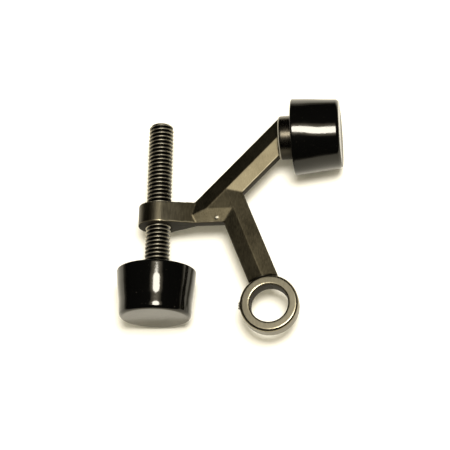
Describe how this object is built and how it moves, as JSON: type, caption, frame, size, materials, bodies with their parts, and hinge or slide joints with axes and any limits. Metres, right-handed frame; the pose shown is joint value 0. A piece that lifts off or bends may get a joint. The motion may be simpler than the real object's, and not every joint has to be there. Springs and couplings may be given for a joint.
{
  "type": "hinge-pin door stop",
  "caption": "Cast three-armed hinge-pin door stop with a pin eye, one fixed rubber bumper and one rubber bumper on a threaded adjusting rod.",
  "frame": {"origin": "centre of the hinge-pin eye, half way through its thickness", "axes": "+Z along the eye's axis, which is the door's hinge pin; +Y along the adjusting rod towards its free end; +X towards the fixed bumper"},
  "size_m": [0.0539, 0.0588, 0.019],
  "materials": {
    "casting": "satin dark bronze plating over a zinc casting",
    "rubber": "glossy black moulded rubber",
    "rod_steel": "satin blackened steel"
  },
  "bodies": {
    "casting": {"yoke": "casting", "fixed_bumper": "rubber"},
    "adjuster_cap": {"adjusting_bumper": "rubber"},
    "adjusting_screw": {"adjusting_rod": "rod_steel", "rod_head": "rod_steel"}
  },
  "joints": [
    {"name": "screw_travel", "type": "slide", "parent": "casting", "child": "adjuster_cap", "axis": [0, -1, 0], "range_m": [-0.0103, 0.0205]},
    {"name": "screw_turn", "type": "hinge", "parent": "adjuster_cap", "child": "adjusting_screw", "pos_m": [-0.0272, 0.00903, 0], "axis": [0, -1, 0], "range_deg": [-3750, 7400]}
  ],
  "couplings": [
    {"joint": "screw_turn", "follows": "screw_travel", "rad_per_m": 6283.2}
  ]
}
